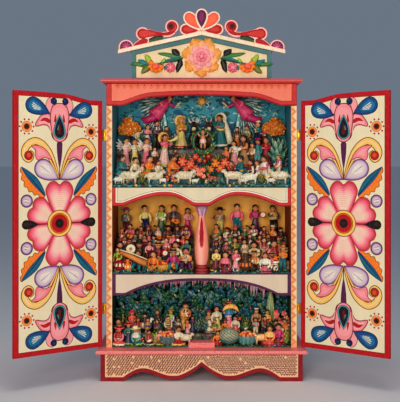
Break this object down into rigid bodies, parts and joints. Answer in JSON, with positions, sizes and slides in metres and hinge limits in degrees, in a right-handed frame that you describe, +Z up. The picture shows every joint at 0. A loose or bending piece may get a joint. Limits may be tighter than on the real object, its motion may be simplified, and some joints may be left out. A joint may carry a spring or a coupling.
{
  "type": "folding shrine box",
  "caption": "Painted wooden folding shrine box with two hinged doors, a gabled crest and three arched tiers of small moulded figures on a scalloped plinth.",
  "frame": {"origin": "middle of the bounding box, doors open as stored, at the foot of the plinth", "axes": "+X to the viewer's right, +Y to the back of the case, +Z up; the doors open towards -Y"},
  "size_m": [0.7466, 0.26, 0.7798],
  "materials": {
    "red_wood": "painted gloss red",
    "coral_wood": "painted satin coral",
    "cream_wood": "painted satin cream with flowers",
    "orange_wood": "painted satin orange and cream",
    "teal_wood": "painted satin teal",
    "brass": "worn",
    "rose_plaster": "painted moulded plaster, pink and orange",
    "leaf_plaster": "painted moulded plaster, green",
    "gold_plaster": "painted moulded plaster, gold",
    "teal_plaster": "painted moulded plaster, teal",
    "wool_plaster": "painted moulded plaster, off-white",
    "orange_plaster": "painted moulded plaster, orange",
    "pink_plaster": "painted moulded plaster, pink",
    "magenta_plaster": "painted moulded plaster, magenta",
    "purple_plaster": "painted moulded plaster, purple",
    "cream_plaster": "painted moulded plaster, cream",
    "umber_plaster": "painted moulded plaster, dark brown"
  },
  "bodies": {
    "case": {"angel_left": "magenta_plaster", "angel_right": "magenta_plaster", "back_board": "teal_wood", "baluster": "coral_wood", "band_left": "purple_plaster", "band_right": "magenta_plaster", "bank": "leaf_plaster", "cornice": "red_wood", "crest_left": "red_wood", "crest_palmette": "coral_wood", "crest_right": "red_wood", "donkey": "wool_plaster", "facing_high": "coral_wood", "facing_low": "cream_wood", "facing_middle": "cream_wood", "flock": "wool_plaster", "fruit_tub_left": "teal_plaster", "fruit_tub_right": "teal_plaster", "gable_box": "teal_wood", "gable_front": "cream_wood", "gable_rose": "rose_plaster", "harvest_left": "pink_plaster", "harvest_right": "wool_plaster", "hinge_left_high_case": "brass", "hinge_left_low_case": "brass", "hinge_right_high_case": "brass", "hinge_right_low_case": "brass", "joseph": "gold_plaster", "ledge": "coral_wood", "ox": "umber_plaster", "plinth_back": "red_wood", "plinth_front": "cream_wood", "plinth_side_left": "red_wood", "plinth_side_right": "red_wood", "roof_left": "cream_wood", "roof_right": "cream_wood", "shelf_high": "red_wood", "shelf_middle": "red_wood", "shepherds_left": "orange_plaster", "shepherds_right": "teal_plaster", "side_left": "orange_wood", "side_right": "orange_wood", "spray_left": "leaf_plaster", "spray_right": "leaf_plaster", "star": "gold_plaster", "street_left": "orange_plaster", "street_right": "cream_plaster", "thicket": "leaf_plaster", "tree_left": "orange_plaster", "tree_right": "orange_plaster", "virgin": "teal_plaster", "worshippers": "pink_plaster", "wreath_child": "leaf_plaster"},
    "left_door": {"door_left": "cream_wood", "hinge_left_low_door": "brass", "hinge_left_high_door": "brass"},
    "right_door": {"door_right": "cream_wood", "hinge_right_low_door": "brass", "hinge_right_high_door": "brass"}
  },
  "joints": [
    {"name": "left_door_hinge", "type": "hinge", "parent": "case", "child": "left_door", "pos_m": [-0.204, -0.01047, 0.33], "axis": [0, 0, 1], "range_deg": [-36, 144]},
    {"name": "right_door_hinge", "type": "hinge", "parent": "case", "child": "right_door", "pos_m": [0.204, -0.01047, 0.33], "axis": [0, 0, 1], "range_deg": [-144, 36]}
  ]
}
